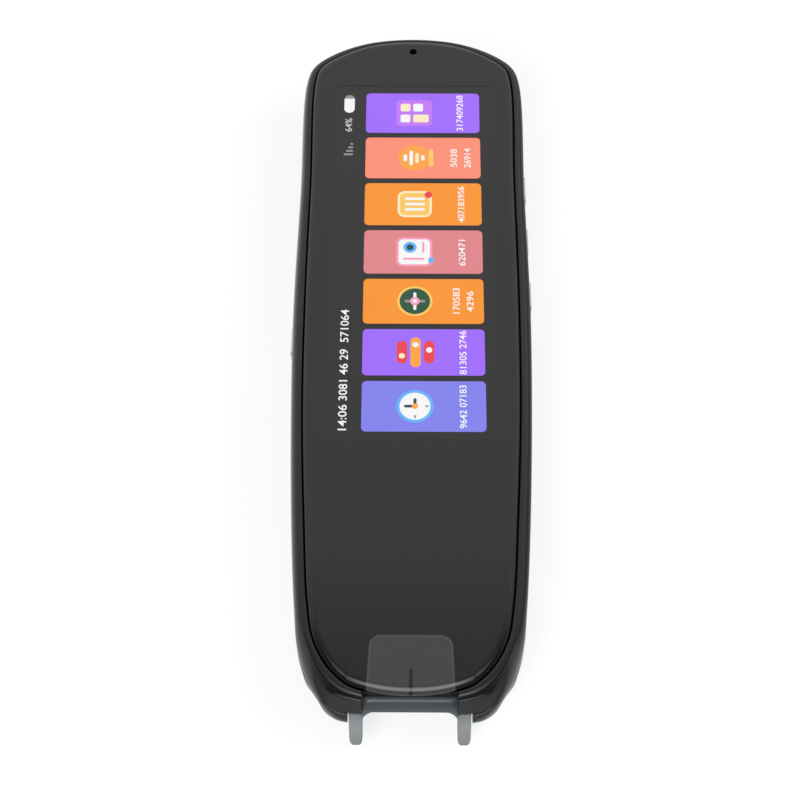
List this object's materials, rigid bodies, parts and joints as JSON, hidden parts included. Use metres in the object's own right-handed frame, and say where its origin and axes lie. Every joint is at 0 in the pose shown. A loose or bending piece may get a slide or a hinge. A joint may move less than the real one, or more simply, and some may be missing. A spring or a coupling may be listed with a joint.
{
  "type": "handheld scanning translator",
  "caption": "Flat pen-shaped scanning translator with a full-length cover glass and display, a frame, a back shell, a sprung scan nib and sprung side keys.",
  "frame": {"origin": "middle of the base of the part's box, on the flat back it lies on", "axes": "+X towards the side with three keys, +Y from the nib to the top end, +Z out of the cover glass"},
  "size_m": [0.04, 0.129, 0.0125],
  "materials": {
    "black_glass": "black-printed cover glass, polished",
    "frame_plastic": "dark grey satin",
    "cover_plastic": "black, semi-gloss",
    "smoke_plastic": "smoky translucent, polished",
    "silver": "glossy silver plating",
    "steel": "plain",
    "aluminium": "stamped, satin",
    "board_green": "solder mask",
    "chip_black": "moulded, matt",
    "cell_foil": "laminated foil",
    "amber_film": "polyimide film",
    "white_plastic": "plain",
    "rubber_black": "matt",
    "dark_glass": "tinted, polished"
  },
  "bodies": {
    "housing": {"front_glass": "black_glass", "front_frame": "frame_plastic", "back_cover": "cover_plastic", "chassis_plate": "aluminium", "chassis_screw_1": "steel", "chassis_screw_2": "steel", "chassis_screw_3": "steel", "chassis_screw_4": "steel", "display_panel": "dark_glass", "display_tray": "white_plastic", "display_flex": "amber_film", "display_connector": "white_plastic", "main_board": "board_green", "main_board_screw_1": "steel", "main_board_screw_2": "steel", "shield_can": "steel", "processor": "chip_black", "battery_connector": "white_plastic", "battery": "cell_foil", "battery_tape": "white_plastic", "battery_lead": "rubber_black", "board_link_flex": "amber_film", "top_board": "board_green", "top_board_screw_1": "steel", "top_board_screw_2": "steel", "usb_c_port": "steel", "usb_c_tongue": "rubber_black", "mic_capsule": "steel", "mic_gasket": "rubber_black", "speaker_mesh": "rubber_black", "speaker_module": "chip_black", "rear_camera": "chip_black", "rear_camera_window": "dark_glass", "antenna_flex": "amber_film", "nib_switch": "steel", "scan_board": "board_green", "scan_camera": "chip_black", "scan_lens": "dark_glass", "scan_led_left": "white_plastic", "scan_led_right": "white_plastic", "scan_hood": "chip_black", "scan_window": "dark_glass", "volume_up_switch": "steel", "volume_down_switch": "steel", "power_switch": "steel", "record_switch": "steel", "right_key_flex": "amber_film", "left_key_flex": "amber_film"},
    "nib": {"scan_nib": "smoke_plastic"},
    "volume_up": {"volume_up_key": "silver"},
    "volume_down": {"volume_down_key": "silver"},
    "power": {"power_key": "silver"},
    "record": {"record_key": "silver"}
  },
  "joints": [
    {"name": "nib_press", "type": "slide", "parent": "housing", "child": "nib", "axis": [0, 1, 0], "range_m": [0, 0.0006], "stiffness_N_per_m": 1200},
    {"name": "volume_up_press", "type": "slide", "parent": "housing", "child": "volume_up", "axis": [-1, 0, 0], "range_m": [0, 0.00035], "stiffness_N_per_m": 4000},
    {"name": "volume_down_press", "type": "slide", "parent": "housing", "child": "volume_down", "axis": [-1, 0, 0], "range_m": [0, 0.00035], "stiffness_N_per_m": 4000},
    {"name": "power_press", "type": "slide", "parent": "housing", "child": "power", "axis": [-1, 0, 0], "range_m": [0, 0.00035], "stiffness_N_per_m": 4000},
    {"name": "record_press", "type": "slide", "parent": "housing", "child": "record", "axis": [1, 0, 0], "range_m": [0, 0.00035], "stiffness_N_per_m": 4000}
  ]
}
